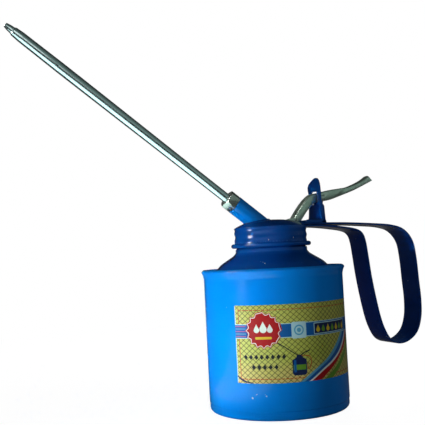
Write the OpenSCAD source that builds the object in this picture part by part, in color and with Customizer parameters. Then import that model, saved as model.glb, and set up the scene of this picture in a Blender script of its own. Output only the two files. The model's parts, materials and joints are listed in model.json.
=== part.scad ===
// Hand pump oil can: drawn can with a seamed shoulder, screw-on pump head with a thumb lever,
// lift pump with a leather cup and two valves, long rigid spout and a bent strap handle.
// Millimetres. Origin at the centre of the can's underside, +Z up, spout towards -X,
// handle and lever towards +X.

/* [Can] */
// Outside diameter of the can body
can_d = 76; // [60:1:78]
// Height of the can body up to the middle of its rim bead
can_h = 74.7; // [70:0.1:80]
// Sheet thickness of can, shoulder and cap
sheet = 0.6; // [0.5:0.1:0.8]
// Radius of the rounded bottom corner
corner_r = 2.5; // [2:0.5:5]
// Section radius of the rolled rim bead
bead_r = 1.6; // [1.4:0.1:1.8]

/* [Neck and cap] */
// Outside diameter of the collar under the cap
collar_d = 39.4; // [39:0.1:39.6]
// Outside diameter of the threaded neck inside the cap
neck_d = 36.8; // [36.6:0.1:37]
// Outside diameter of the cap's skirt
cap_d = 40; // [39.2:0.1:40.2]
// Height of the cap's top plate above the can's underside
cap_plate_z = 97.3; // [97.1:0.1:97.4]
// Height of the top of the cap's dome above the can's underside
dome_top = 102; // [101.4:0.1:102.2]
// Rise of the pump head in one turn
thread_pitch = 4; // [3:0.5:5]

/* [Spout] */
// Elevation of the spout above the horizontal
spout_angle = 37.5; // [36:0.5:39]
// Distance from the can's axis to the spout's tip, along the spout
spout_reach = 175.4; // [150:0.1:190]
// Outside diameter of the spout tube at the nut
tube_d = 5.1; // [4.8:0.05:5.65]
// Outside diameter of the spout tube where the nozzle begins
tube_end_d = 5.7; // [5.2:0.05:6]
// Outside diameter of the painted socket
socket_d = 10.2; // [10:0.1:10.4]
// Width of the spout nut across its flats
nut_af = 9.2; // [9:0.1:10]

/* [Handle] */
// Width of the handle strap
strap_w = 16; // [14:0.5:16]
// Thickness of the handle strap
strap_t = 1; // [0.8:0.05:1]

/* [Lever] */
// Width of the lever's channel outside
lever_w = 6; // [5.8:0.1:6.2]
// Thickness of the lever's sheet
lever_t = 0.9; // [0.8:0.1:1]
// Diameter of the lever's pivot pin
pivot_d = 2; // [1.8:0.1:2.2]
// Degrees that the lever turns when pressed fully
lever_press = 16; // [10:1:16]

/* [Pump] */
// Distance of the pump's axis from the can's axis
pump_x = 11.5; // [11.3:0.1:11.6]
// Bore of the pump barrel
bore_d = 8.4; // [8:0.1:8.4]
// Outside diameter of the pump barrel
barrel_d = 10; // [9.8:0.1:10]
// Diameter of the plunger rod
rod_d = 3.4; // [3:0.1:3.4]
// Turns of the return spring
spring_turns = 9; // [7:1:10]

/* [Hidden] */

$fn = 64;
eps = 0.01;
run = 0.05;            // radial clearance of a running fit

// Can and shoulder
can_r = can_d / 2;
flange_z = can_h + 0.5;            // top of the shoulder's flat
cone_foot_r = 31.4;
collar_z = 84.6;                   // where the cone meets the collar
collar_top_z = 86.6;
neck_top_z = 95.3;
label_low = 18.5;
label_high = 58.2;
label_start = -149.3;              // label's left and right edge, as angles from +X
label_sweep = 110;
label_t = 0.12;

// Cap
plate_t = 1;
skirt_low_z = 87;
cap_bead_r = 1.2;
dome_edge_z = 97.9;                // where the dome meets the skirt
gasket_t = cap_plate_z - plate_t - neck_top_z;
seat_w = strap_w + 0.8;            // flat seat for the strap, sunk into the dome
seat_x = 5.9;

// Pump head block
block_r = 17;
block_low = 84;
block_top = cap_plate_z - plate_t;
well_r = 5;
well_floor = 94.8;
chamber_top = 90.5;
packing_seat = 91.5;
gland_r = 3.1;
barrel_top = 87;
barrel_low = 44;

// Spout, as distances along its axis from the point where it crosses the can's axis
spout_origin = [0, 0, 94.9];
socket_low = -3;
socket_high = 26.4;
nut_len = 5.7;
nut_shank_r = 3.55;
nut_shank_low = 20;
seal_low = 18.6;
tube_low = 12;
tube_seat_r = tube_d / 2 + 0.06;
taper_low = 34;
tip_low = spout_reach - 32;
tip_step = spout_reach - 4.6;
tip_end_r = 1.2;

// Bracket
foot_low = 99.6;
foot_t = 1.4;
plate_x = 28.8;
upright_t = 1.2;
upright_top = 125;
slot_low = 109.9;
slot_high = 117.5;
slot_w = lever_w + 1.6;
ear_x = plate_x + upright_t / 2;    // where the ears and their foot start, inside the upright
ear_foot_x = 35.4;
ear_t = 1;
ear_r = 1.7;
ear_out = lever_w / 2 - lever_t - 0.3;

// Strap and rivets
strap_low_z = cap_plate_z + strap_t / 2;       // centre of the lower end, which lies on the cap
strap_high_z = foot_low - strap_t / 2;         // centre of the upper end, under the bracket's foot
rivet_r_cap = 0.9;
rivet_y_cap = 6.5;
rivet_r = 1.5;
rivet_x = 22.5;
rivet_y = 5;
rivet_head_h = 0.7;

// Lever pivot and the cross pin of the plunger rod, in the XZ plane
pivot = [32.5, 113.5];
pin_d = 1.8;
pin_z = 99.5;
eye_r = 2;
pin_play = 0.2;
rise_per_rad = pivot[0] - pump_x;  // travel of the plunger for each radian of the lever

// Plunger
piston_z = 52;                     // underside of the cup leather
cup_h = 4;
backing_t = 1.2;
piston_top = piston_z + cup_h + backing_t;
stud_r = 1.2;                      // threaded end of the rod
eye_t = rod_d - 0.2;
spring_wire = 0.8;
spring_mean_r = 3;

// Foot valve
valve_low = 37;
valve_hole_r = 1.2;
seat_z = 41;
ball_r = 1.6;
ball_z = seat_z + sqrt(ball_r * ball_r - valve_hole_r * valve_hole_r) + 0.02;
cage_z = 45;

// Points of a smooth curve through a short list of points
function mid_pt(a, b, c, d, t) =
    0.5 * (2 * b + (c - a) * t + (2 * a - 5 * b + 4 * c - d) * t * t + (3 * b - a - 3 * c + d) * t * t * t);
function smooth(pts, steps) = let (n = len(pts)) concat(
    [for (i = [0 : n - 2], k = [0 : steps - 1])
        mid_pt(pts[max(i - 1, 0)], pts[i], pts[i + 1], pts[min(i + 2, n - 1)], k / steps)],
    [pts[n - 1]]);
function unit(v) = v / norm(v);
function normal_at(p, i) = let (
    n = len(p), t = unit(p[min(i + 1, n - 1)] - p[max(i - 1, 0)])) [-t[1], t[0]];
function band(p, half) = concat(
    [for (i = [0 : len(p) - 1]) p[i] + half * normal_at(p, i)],
    [for (i = [len(p) - 1 : -1 : 0]) p[i] - half * normal_at(p, i)]);
function arc(cx, cz, r, a0, a1, n) = [for (i = [0 : n]) let (a = a0 + (a1 - a0) * i / n)
    [cx + r * cos(a), cz + r * sin(a)]];

// Solid of the XZ outline, from y0 to y1
module slab(y0, y1) {
    translate([0, y1, 0]) rotate([90, 0, 0]) linear_extrude(y1 - y0) children();
}

// Frame of the spout: its local Z runs along the spout
module along_spout(s) {
    translate(spout_origin) rotate([0, spout_angle - 90, 0]) translate([0, 0, s]) children();
}

module tube(r_out, r_in, z0, z1) {
    translate([0, 0, z0]) difference() {
        cylinder(r = r_out, h = z1 - z0);
        translate([0, 0, -1]) cylinder(r = r_in, h = z1 - z0 + 2);
    }
}

module hex(af, h) {
    cylinder(r = af / sqrt(3), h = h, $fn = 6);
}

// ---- Can ----

module can_body() {
    outer = concat([[0, 0], [can_r - corner_r, 0]], arc(can_r - corner_r, corner_r, corner_r, -90, 0, 8));
    inner_r = corner_r - sheet;
    wall_top = flange_z - sheet - 0.03;
    inner = concat(arc(can_r - corner_r, corner_r, inner_r, 0, -90, 8), [[0, sheet]]);
    color("#0a5fc4") {
        rotate_extrude($fn = 96)
            polygon(concat(outer, [[can_r, wall_top], [can_r - sheet, wall_top]], inner));
        difference() {
            rotate_extrude($fn = 96) translate([can_r - 0.3, can_h]) circle(bead_r, $fn = 32);
            translate([0, 0, -1]) cylinder(r = can_r - sheet / 2, h = can_h + 1, $fn = 96);
            translate([0, 0, wall_top]) cylinder(r = can_r + 0.3, h = flange_z - wall_top, $fn = 96);
        }
    }
}

module can_shoulder() {
    outside = [[collar_d / 2 + 3.7, 81.4], [27.8, 78.6], [30, 76.5], [cone_foot_r, flange_z - 0.05],
        [33, flange_z - 0.05]];
    rise = concat([[collar_d / 2, collar_z], [collar_d / 2 + 1.2, 83.1]], outside);
    top = smooth(rise, 4);
    neck_r = neck_d / 2;
    color("#083f94") rotate_extrude($fn = 96) polygon(concat(
        [[neck_r - sheet, neck_top_z], [neck_r, neck_top_z], [neck_r, collar_top_z + 0.4],
            [collar_d / 2, collar_top_z]],
        top,
        [[can_r + 0.25, flange_z - 0.05], [can_r + 0.25, flange_z - sheet]],
        [for (i = [len(top) - 1 : -1 : 0]) top[i] - [0.45, 0.55]],
        [[collar_d / 2 - sheet, collar_top_z - 0.5], [neck_r - sheet, collar_top_z]]));
}

module body_label() {
    color("#c8cf3a") rotate([0, 0, label_start]) rotate_extrude(angle = label_sweep, $fn = 96)
        translate([can_r, label_low]) square([label_t, label_high - label_low]);
}

// ---- Cap ----

module cap_gasket() {
    color("#3a2a20") tube(neck_d / 2 + 0.4, neck_d / 2 - 1.1, neck_top_z, neck_top_z + gasket_t);
}

module screw_cap() {
    cap_r = cap_d / 2;
    plate_low = cap_plate_z - plate_t;
    dome_h = dome_top - dome_edge_z;
    dome = [for (i = [10 : -1 : 0]) let (k = i / 10) [k * cap_r, dome_edge_z + dome_h * (1 - k * k * k)]];
    color("#0a4aa6") difference() {
        union() {
            tube(cap_r, cap_r - sheet, skirt_low_z, plate_low);
            rotate_extrude($fn = 96) polygon(concat([[0, plate_low], [cap_r, plate_low]], dome));
            difference() {
                rotate_extrude() translate([cap_r + 0.8, skirt_low_z + cap_bead_r])
                    circle(cap_bead_r, $fn = 32);
                translate([0, 0, skirt_low_z - 1]) cylinder(r = cap_r - sheet / 2, h = 2 * cap_bead_r + 2);
            }
        }
        translate([seat_x, -seat_w / 2, cap_plate_z]) cube([cap_r, seat_w, dome_top]);
        translate([pump_x, 0, cap_plate_z - 2]) cylinder(r = well_r, h = 3);
        along_spout(-20) cylinder(r = socket_d / 2, h = 60);
        for (s = [-1, 1]) translate([pump_x, s * rivet_y_cap, cap_plate_z - 2])
            cylinder(r = rivet_r_cap, h = 3);
    }
}

module pump_block() {
    color("#b58a3c") difference() {
        translate([0, 0, block_low]) cylinder(r = block_r, h = block_top - block_low);
        along_spout(socket_low) cylinder(r = socket_d / 2, h = 40);
        along_spout(-12) cylinder(r = 1.5, h = 14);
        translate([pump_x, 0, 0]) {
            translate([0, 0, block_low - 1]) cylinder(r = barrel_d / 2, h = barrel_top - block_low + 1);
            translate([0, 0, block_low - 1]) cylinder(r = bore_d / 2, h = chamber_top - block_low + 1);
            translate([0, 0, block_low]) cylinder(r = rod_d / 2 + 0.2, h = 20);
            translate([0, 0, packing_seat]) cylinder(r = gland_r, h = 10);
            translate([0, 0, well_floor]) cylinder(r = well_r, h = 10);
            for (s = [-1, 1]) translate([0, s * rivet_y_cap, block_top - 2]) cylinder(r = rivet_r_cap, h = 3);
        }
    }
}

// ---- Spout ----

module spout_socket() {
    color("#0a5fc4") along_spout(0) difference() {
        translate([0, 0, socket_low]) cylinder(r = socket_d / 2, h = socket_high - socket_low);
        translate([0, 0, socket_low - 1]) cylinder(r = 1.8, h = 40);
        translate([0, 0, tube_low]) cylinder(r = tube_seat_r, h = 20);
        translate([0, 0, seal_low]) cylinder(r = nut_shank_r, h = 20);
    }
}

module spout_nut() {
    nut_r = nut_af / sqrt(3);
    color("#8b8f8c") along_spout(0) difference() {
        union() {
            translate([0, 0, nut_shank_low]) cylinder(r = nut_shank_r, h = socket_high - nut_shank_low);
            intersection() {
                translate([0, 0, socket_high]) rotate([0, 0, 30]) hex(nut_af, nut_len);
                rotate_extrude() polygon([[0, socket_high], [nut_r - 0.3, socket_high],
                    [nut_r, socket_high + 0.3], [nut_r, socket_high + nut_len - 0.8],
                    [nut_af / 2 - 0.2, socket_high + nut_len], [0, socket_high + nut_len]]);
            }
        }
        translate([0, 0, nut_shank_low - 1]) cylinder(r = tube_seat_r, h = 20);
    }
}

module spout_seal() {
    color("#2b2b2b") along_spout(0) tube(nut_shank_r, tube_d / 2, seal_low, nut_shank_low);
}

module spout_tube() {
    r0 = tube_d / 2;
    r1 = tube_end_d / 2;
    wall = 0.7;
    color("#b9bdbc") along_spout(0) rotate_extrude() polygon([[r0 - wall, tube_low], [r0, tube_low],
        [r0, taper_low], [r1, tip_low], [r1 - wall, tip_low], [r0 - wall, taper_low]]);
}

module spout_tip() {
    r1 = tube_end_d / 2;
    color("#c4c8c6") along_spout(0) rotate_extrude() polygon([
        [0.6, tip_low - 6], [r1 - 0.76, tip_low - 6], [r1 - 0.72, tip_low], [r1, tip_low],
        [r1 - 0.1, tip_low + 10], [r1 - 0.2, tip_step - 5], [r1 - 0.5, tip_step - 0.7],
        [tip_end_r + 0.7, tip_step], [tip_end_r + 0.5, tip_step + 2], [tip_end_r, spout_reach - 0.3],
        [tip_end_r - 0.3, spout_reach], [0.6, spout_reach]]);
}

// ---- Bracket, pin and handle ----

module lever_bracket() {
    foot_x = 17.6;
    half = strap_w / 2;
    leaf = concat([[-7, foot_low], [7, foot_low], [5.7, 110], [5.3, 115.6]],
        smooth([[6.2, 118.2], [6.2, 120.2], [5, 121.9], [2.4, 123.3], [0, 124.3], [-2.7, upright_top],
            [-4.6, 123.8], [-5.8, 121], [-6.3, 117]], 4));
    ear = concat([[ear_x, foot_low], [ear_foot_x, foot_low], [34.9, 101.6], [34.5, 109.2], [33.6, 110.4]],
        arc(pivot[0], pivot[1], ear_r, -20, 150, 10), [[ear_x, 112.6]]);
    color("#0a3f92") difference() {
        union() {
            translate([foot_x, -half, foot_low]) cube([plate_x + upright_t - foot_x, strap_w, foot_t]);
            translate([plate_x, 0, 0]) rotate([90, 0, 90]) linear_extrude(upright_t) polygon(leaf);
            for (y = [-ear_out, ear_out - ear_t]) slab(y, y + ear_t) polygon(ear);
            translate([ear_x, -ear_out, foot_low]) cube([ear_foot_x - ear_x, 2 * ear_out, foot_t]);
        }
        translate([plate_x - 1, -slot_w / 2, slot_low]) cube([upright_t + 1.02, slot_w, slot_high - slot_low]);
        translate([foot_x - 1, -slot_w / 2, foot_low - 1]) cube([4.4, slot_w, 5]);
        translate([pivot[0], 10, pivot[1]]) rotate([90, 0, 0]) cylinder(r = pivot_d / 2, h = 20);
        for (s = [-1, 1]) translate([rivet_x, s * rivet_y, foot_low - 1]) {
            cylinder(r = rivet_r, h = 5);
            translate([0, 0, 1 + foot_t - rivet_head_h]) cylinder(r = rivet_r + 0.8, h = 2);
        }
    }
}

module lever_pin() {
    half = lever_w / 2 + 0.15;
    color("#9a9e9b") translate([pivot[0], 0, pivot[1]]) rotate([90, 0, 0]) {
        translate([0, 0, -half]) cylinder(r = pivot_d / 2, h = 2 * half);
        for (z = [-half - 0.5, half]) translate([0, 0, z]) cylinder(r = pivot_d / 2 + 0.6, h = 0.5);
    }
}

module handle_strap() {
    route = [[9, strap_high_z], [20, strap_high_z], [30, strap_high_z - 0.15], [46, 98.5], [62, 97.6],
        [75, 96.4], [83.6, 93.6], [89.3, 86.9], [91.2, 77], [92, 64], [92.7, 52], [91.9, 42], [88.6, 34],
        [82.6, 29.5], [76, 28.3], [70.2, 30.6], [66.5, 36], [63.7, 43.8], [61.1, 56], [59.1, 68], [57.8, 79],
        [56.6, 87.8], [54.6, 92.6], [50, 95], [40, 96.6], [30, 97.6], [21, strap_low_z], [9, strap_low_z]];
    color("#0a4aa6") difference() {
        slab(-strap_w / 2, strap_w / 2) polygon(band(smooth(route, 5), strap_t / 2));
        translate([pump_x, 0, 90]) cylinder(r = well_r + 0.2, h = 20);
        translate([0, -well_r - 0.2, 90]) cube([pump_x, 2 * well_r + 0.4, 20]);
        translate([pump_x, -slot_w / 2, 90]) cube([8, slot_w, 20]);
        for (s = [-1, 1]) {
            translate([rivet_x, s * rivet_y, 90]) cylinder(r = rivet_r, h = 12);
            translate([pump_x, s * rivet_y_cap, 90]) cylinder(r = rivet_r_cap, h = 12);
        }
    }
}

module strap_rivets() {
    foot_top = foot_low + foot_t;
    cap_rivet_low = block_top - 2;
    color("#0a3f92") for (s = [-1, 1]) {
        translate([rivet_x, s * rivet_y, 0]) {
            translate([0, 0, cap_plate_z + 0.05]) cylinder(r = rivet_r, h = foot_top - cap_plate_z - 0.05);
            translate([0, 0, foot_top - rivet_head_h]) cylinder(r = rivet_r + 0.8, h = rivet_head_h);
        }
        translate([pump_x, s * rivet_y_cap, 0]) {
            translate([0, 0, cap_rivet_low]) cylinder(r = rivet_r_cap, h = foot_low - cap_rivet_low);
            translate([0, 0, foot_low]) cylinder(r = rivet_r_cap + 0.5, h = 0.6);
        }
    }
}

// ---- Pump, fixed pieces ----

module gland_nut() {
    color("#c9a24a") translate([pump_x, 0, 0]) difference() {
        union() {
            translate([0, 0, packing_seat + 1.5]) cylinder(r = gland_r, h = well_floor - packing_seat - 1.5);
            translate([0, 0, well_floor]) hex(8, 1.7);
        }
        translate([0, 0, 90]) cylinder(r = rod_d / 2 + run, h = 10);
    }
}

module rod_packing() {
    color("#d8d2c0") translate([pump_x, 0, 0])
        tube(gland_r, rod_d / 2 + run, packing_seat, packing_seat + 1.5);
}

module pump_barrel() {
    color("#c9a24a") translate([pump_x, 0, 0]) tube(barrel_d / 2, bore_d / 2, barrel_low, barrel_top);
}

module foot_valve_body() {
    color("#b58a3c") translate([pump_x, 0, 0]) difference() {
        union() {
            translate([0, 0, valve_low]) cylinder(r = barrel_d / 2, h = barrel_low - valve_low);
            translate([0, 0, barrel_low]) cylinder(r = bore_d / 2, h = cage_z + 1 - barrel_low);
        }
        translate([0, 0, valve_low - 1]) cylinder(r = valve_hole_r, h = 10);
        translate([0, 0, valve_low - 1]) cylinder(r = 2.2, h = 3);
        translate([0, 0, seat_z]) cylinder(r = ball_r + 0.5, h = 10);
        translate([0, 0, cage_z]) cylinder(r = 3, h = 10);
    }
}

module ball_cage() {
    color("#b9bdbc") translate([pump_x, 0, 0]) difference() {
        tube(3, 0.7, cage_z, cage_z + 1);
        for (a = [0, 120, 240]) rotate([0, 0, a]) translate([1.7, 0, cage_z - 1]) cylinder(r = 0.5, h = 3);
    }
}

module pickup_tube() {
    color("#c9a24a") translate([pump_x, 0, 0]) tube(2.2, 1.5, 7, valve_low + 2);
}

module inlet_strainer() {
    color("#b58a3c") translate([pump_x, 0, 0]) difference() {
        union() {
            tube(3, 2.2, 4, 10);
            translate([0, 0, 3.4]) cylinder(r = 3, h = 0.6);
        }
        for (a = [0 : 45 : 135]) rotate([0, 0, a]) translate([-4, -0.4, 4.2]) cube([8, 0.8, 2.2]);
    }
}

// ---- Lever ----

module lever() {
    top = smooth([[14.2, 102.7], [18, 107.9], [22.2, 112.6], [26.4, 115.7], [31.5, 116.6], [38, 118],
        [44, 118.8], [50.5, 119.7], [56, 121.5], [61, 123.7], [65.2, 126.3]], 4);
    under = smooth([[67.9, 123.5], [61, 120.5], [54, 117.6], [45, 114.6], [37, 112.2], [31, 111.4],
        [26.8, 110.2], [23, 106.9], [18.8, 101.8], [16.3, 99.5], [12.3, 97.2]], 4);
    thumb = [[66.2, 126.4], [67.4, 126], [68.3, 124.8], [68.3, 124]];
    toe = arc(pump_x, pin_z, 2.4, -90, -265, 8);
    wall_y = lever_w / 2 - lever_t;
    color("#a9b5a6") difference() {
        union() {
            for (s = [-1, 1]) slab(s > 0 ? wall_y : -wall_y - lever_t, s > 0 ? wall_y + lever_t : -wall_y)
                polygon(concat(top, thumb, under, toe));
            slab(-wall_y - eps, wall_y + eps) polygon(concat(top,
                [for (i = [len(top) - 1 : -1 : 0]) top[i] - lever_t * normal_at(top, i)]));
            slab(-wall_y - eps, wall_y + eps) polygon(concat(
                smooth([[46, 118.9], [50.5, 119.6], [56, 121.4], [61, 123.6], [65.2, 126.2]], 4), thumb,
                smooth([[67.9, 123.5], [61, 120.5], [54, 117.6], [46, 115]], 4)));
        }
        translate([pivot[0], 10, pivot[1]]) rotate([90, 0, 0]) cylinder(r = pivot_d / 2 + run, h = 20);
        slab(-5, 5) lever_slot();
    }
}

// The cross pin's centre as the lever sees it when the lever has turned by a degrees
function pin_in_lever(a) = let (
    x = pump_x - pivot[0], z = pin_z + rise_per_rad * a * PI / 180 - pivot[1])
    pivot + [x * cos(a) - z * sin(a), x * sin(a) + z * cos(a)];

// Slot in the lever's cheeks in which the cross pin slides as the lever swings
module lever_slot() {
    from = pin_in_lever(0);
    to = pin_in_lever(lever_press);
    r = pin_d / 2 + pin_play;
    along = unit(to - from);
    side = r * [-along[1], along[0]];
    for (p = [from, to]) translate(p) circle(r, $fn = 32);
    polygon([from + side, to + side, to - side, from - side]);
}

// ---- Plunger ----

module plunger_rod() {
    color("#c4c8c6") translate([pump_x, 0, 0]) difference() {
        union() {
            translate([0, 0, piston_top]) cylinder(r = rod_d / 2, h = pin_z - 0.6 * eye_r - piston_top);
            translate([0, 0, piston_z - 4]) cylinder(r = stud_r, h = piston_top - piston_z + 5);
            translate([0, eye_t / 2, pin_z]) rotate([90, 0, 0]) cylinder(r = eye_r, h = eye_t);
        }
        translate([0, 5, pin_z]) rotate([90, 0, 0]) cylinder(r = pin_d / 2, h = 10);
    }
}

module rod_cross_pin() {
    half = lever_w / 2 + 0.4;
    color("#9a9e9b") translate([pump_x, half, pin_z]) rotate([90, 0, 0])
        cylinder(r = pin_d / 2, h = 2 * half);
}

module piston_backing() {
    color("#c9a24a") translate([pump_x, 0, 0]) tube(bore_d / 2 - 0.4, stud_r, piston_z + cup_h, piston_top);
}

module cup_leather() {
    color("#8a5a2b") translate([pump_x, 0, 0]) rotate_extrude() polygon([
        [stud_r, piston_z], [bore_d / 2 - 1, piston_z],
        [bore_d / 2 - run, piston_z + 0.8], [bore_d / 2 - run, piston_z + cup_h - 0.1],
        [bore_d / 2 - 0.38, piston_z + cup_h - 0.1], [bore_d / 2 - 1, piston_z + cup_h - 1.4],
        [bore_d / 2 - 1, piston_z + cup_h], [stud_r, piston_z + cup_h]]);
}

module piston_follower() {
    color("#c9a24a") translate([pump_x, 0, 0]) tube(bore_d / 2 - 1, stud_r, piston_z - 1, piston_z);
}

module piston_nut() {
    color("#c9a24a") translate([pump_x, 0, piston_z - 3.2]) difference() {
        hex(5, 2.2);
        translate([0, 0, -1]) cylinder(r = stud_r, h = 5);
    }
}

// Return spring, a wire swept round a helix, between the piston and the roof of the chamber
module return_spring() {
    sides = 6;
    per_turn = 16;
    low = piston_top + spring_wire / 2 + 0.02;
    high = chamber_top - spring_wire / 2 - 0.02;
    steps = spring_turns * per_turn;
    function ring(i) = let (a = 360 * i / per_turn, z = low + (high - low) * i / steps)
        [for (k = [0 : sides - 1]) let (b = 360 * k / sides, r = spring_mean_r + spring_wire / 2 * cos(b))
            [r * cos(a), r * sin(a), z + spring_wire / 2 * sin(b)]];
    points = [for (i = [0 : steps]) each ring(i)];
    faces = concat(
        [[for (k = [0 : sides - 1]) k]],
        [for (i = [0 : steps - 1], k = [0 : sides - 1]) let (j = (k + 1) % sides)
            [i * sides + k, (i + 1) * sides + k, (i + 1) * sides + j, i * sides + j]],
        [[for (k = [sides - 1 : -1 : 0]) steps * sides + k]]);
    color("#7d8280") translate([pump_x, 0, 0]) polyhedron(points, faces, convexity = 10);
}

module inlet_ball() {
    color("#d0d4d2") translate([pump_x, 0, ball_z]) sphere(ball_r);
}

can_body();
can_shoulder();
body_label();
cap_gasket();
screw_cap();
pump_block();
spout_socket();
spout_nut();
spout_seal();
spout_tube();
spout_tip();
lever_bracket();
lever_pin();
handle_strap();
strap_rivets();
gland_nut();
rod_packing();
pump_barrel();
foot_valve_body();
ball_cage();
pickup_tube();
inlet_strainer();
lever();
plunger_rod();
rod_cross_pin();
piston_backing();
cup_leather();
piston_follower();
piston_nut();
return_spring();
inlet_ball();
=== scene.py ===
"""Looks of the pump oil can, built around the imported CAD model. Metres, in the CAD frame."""
import json
import math

import bmesh
import bpy
from mathutils import Matrix, Vector


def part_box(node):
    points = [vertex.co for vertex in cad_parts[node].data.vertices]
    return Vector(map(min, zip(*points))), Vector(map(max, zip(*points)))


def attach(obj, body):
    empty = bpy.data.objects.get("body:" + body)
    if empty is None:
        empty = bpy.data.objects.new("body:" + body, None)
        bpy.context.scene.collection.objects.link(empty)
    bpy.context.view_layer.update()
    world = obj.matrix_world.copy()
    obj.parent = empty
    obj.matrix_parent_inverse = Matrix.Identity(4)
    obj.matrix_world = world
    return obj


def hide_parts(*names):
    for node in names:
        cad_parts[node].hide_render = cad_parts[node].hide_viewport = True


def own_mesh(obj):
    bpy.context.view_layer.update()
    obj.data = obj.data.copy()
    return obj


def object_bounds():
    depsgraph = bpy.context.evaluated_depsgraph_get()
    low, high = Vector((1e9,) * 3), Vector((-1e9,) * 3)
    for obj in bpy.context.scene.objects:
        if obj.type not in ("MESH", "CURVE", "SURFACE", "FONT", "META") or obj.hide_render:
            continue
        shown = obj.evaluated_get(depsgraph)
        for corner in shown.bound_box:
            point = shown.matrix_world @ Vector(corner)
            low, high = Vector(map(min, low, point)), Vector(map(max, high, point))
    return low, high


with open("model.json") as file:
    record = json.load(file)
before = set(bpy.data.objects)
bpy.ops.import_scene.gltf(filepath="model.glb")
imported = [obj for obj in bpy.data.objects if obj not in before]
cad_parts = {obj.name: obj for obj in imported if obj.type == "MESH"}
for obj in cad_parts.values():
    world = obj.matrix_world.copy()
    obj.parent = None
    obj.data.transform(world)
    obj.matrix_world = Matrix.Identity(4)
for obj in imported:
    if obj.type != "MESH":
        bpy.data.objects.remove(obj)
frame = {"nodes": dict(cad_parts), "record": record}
cad_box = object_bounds()

behaviour = frame["record"]["behaviour"]

MM = 0.001
TAU = 2 * math.pi


# ---------------------------------------------------------------- sizes, in millimetres

def corners(node):
    low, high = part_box(node)
    return Vector(low) / MM, Vector(high) / MM


def body_of(node):
    return next(body for body, nodes in behaviour["bodies"].items() if node in nodes)


_, can_high = corners("can_body")
_, shoulder_high = corners("can_shoulder")
cap_low, cap_high = corners("screw_cap")
foot_low, _ = corners("lever_bracket")
strap_low, strap_high = corners("handle_strap")
barrel_low, barrel_high = corners("pump_barrel")
label_low, label_high = corners("body_label")
pin_low, pin_high = corners("lever_pin")
cross_low, cross_high = corners("rod_cross_pin")
spring_low, spring_high = corners("return_spring")

BEAD_R = 1.6
CAN_R = can_high.x - BEAD_R + 0.3
CAN_H = can_high.z - BEAD_R
CORNER_R = 2.5
CAP_BEAD_R = 1.2
CAP_R = cap_high.x - CAP_BEAD_R - 0.8
SKIRT_LOW = cap_low.z
DOME_TOP = cap_high.z
DOME_EDGE = 97.9
SEAT_Z = 97.3
PLATE_LOW = 96.3
SEAT_X = 5.9
SEAT_HALF = 8.4
THREAD_PITCH = 4
PUMP_X = (barrel_low.x + barrel_high.x) / 2
WELL_R = 5
STRAP_W = strap_high.y - strap_low.y
STRAP_T = 1
FOOT_Z = foot_low.z
SHEET_T = 1.3
PIVOT = (pin_low + pin_high) / 2
CROSS_PIN = (cross_low + cross_high) / 2
LEVER_HALF = 3
LEVER_WALL = 0.9
LEVER_GAP = 3.8
LEVER_INSIDE = LEVER_HALF - LEVER_WALL
ACROSS = Matrix.Rotation(-math.pi / 2, 4, "X")  # lays a turned piece along Y

pivot_joint = next(j for j in behaviour["joints"] if j["name"] == "lever_pivot")
plunger_coupling = next(c for c in behaviour["couplings"] if c["joint"] == "plunger_slide")
LEVER_SWING = math.radians(pivot_joint["range_deg"][1])
LIFT_PER_RADIAN = plunger_coupling["ratio"] / MM

# The spout's axis runs through its mount, and its origin is where it crosses the can's axis
tip = next(m for m in frame["record"]["mounts"] if m["name"] == "spout_outlet")
SPOUT_DIR = Vector(tip["axis"]).normalized()
SPOUT_TIP = Vector(tip["pos_m"]) / MM
SPOUT_REACH = SPOUT_TIP.x / SPOUT_DIR.x
SPOUT_ORIGIN = SPOUT_TIP - SPOUT_DIR * SPOUT_REACH
ALONG_SPOUT = Matrix.Translation(SPOUT_ORIGIN) @ SPOUT_DIR.to_track_quat("Z", "Y").to_matrix().to_4x4()
SOCKET_R = 5.1
SOCKET_END = 26.4


# ---------------------------------------------------------------- node materials

def shader_node(tree, kind, *inputs, **values):
    """New node with its inputs in order: each is a value, a socket to join, or None to leave it."""
    node = tree.nodes.new("ShaderNode" + kind)
    for key, value in values.items():
        setattr(node, key, value)
    for socket, value in zip(node.inputs, inputs):
        if isinstance(value, bpy.types.NodeSocket):
            tree.links.new(value, socket)
        elif value is not None:
            socket.default_value = value
    return node


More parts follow.
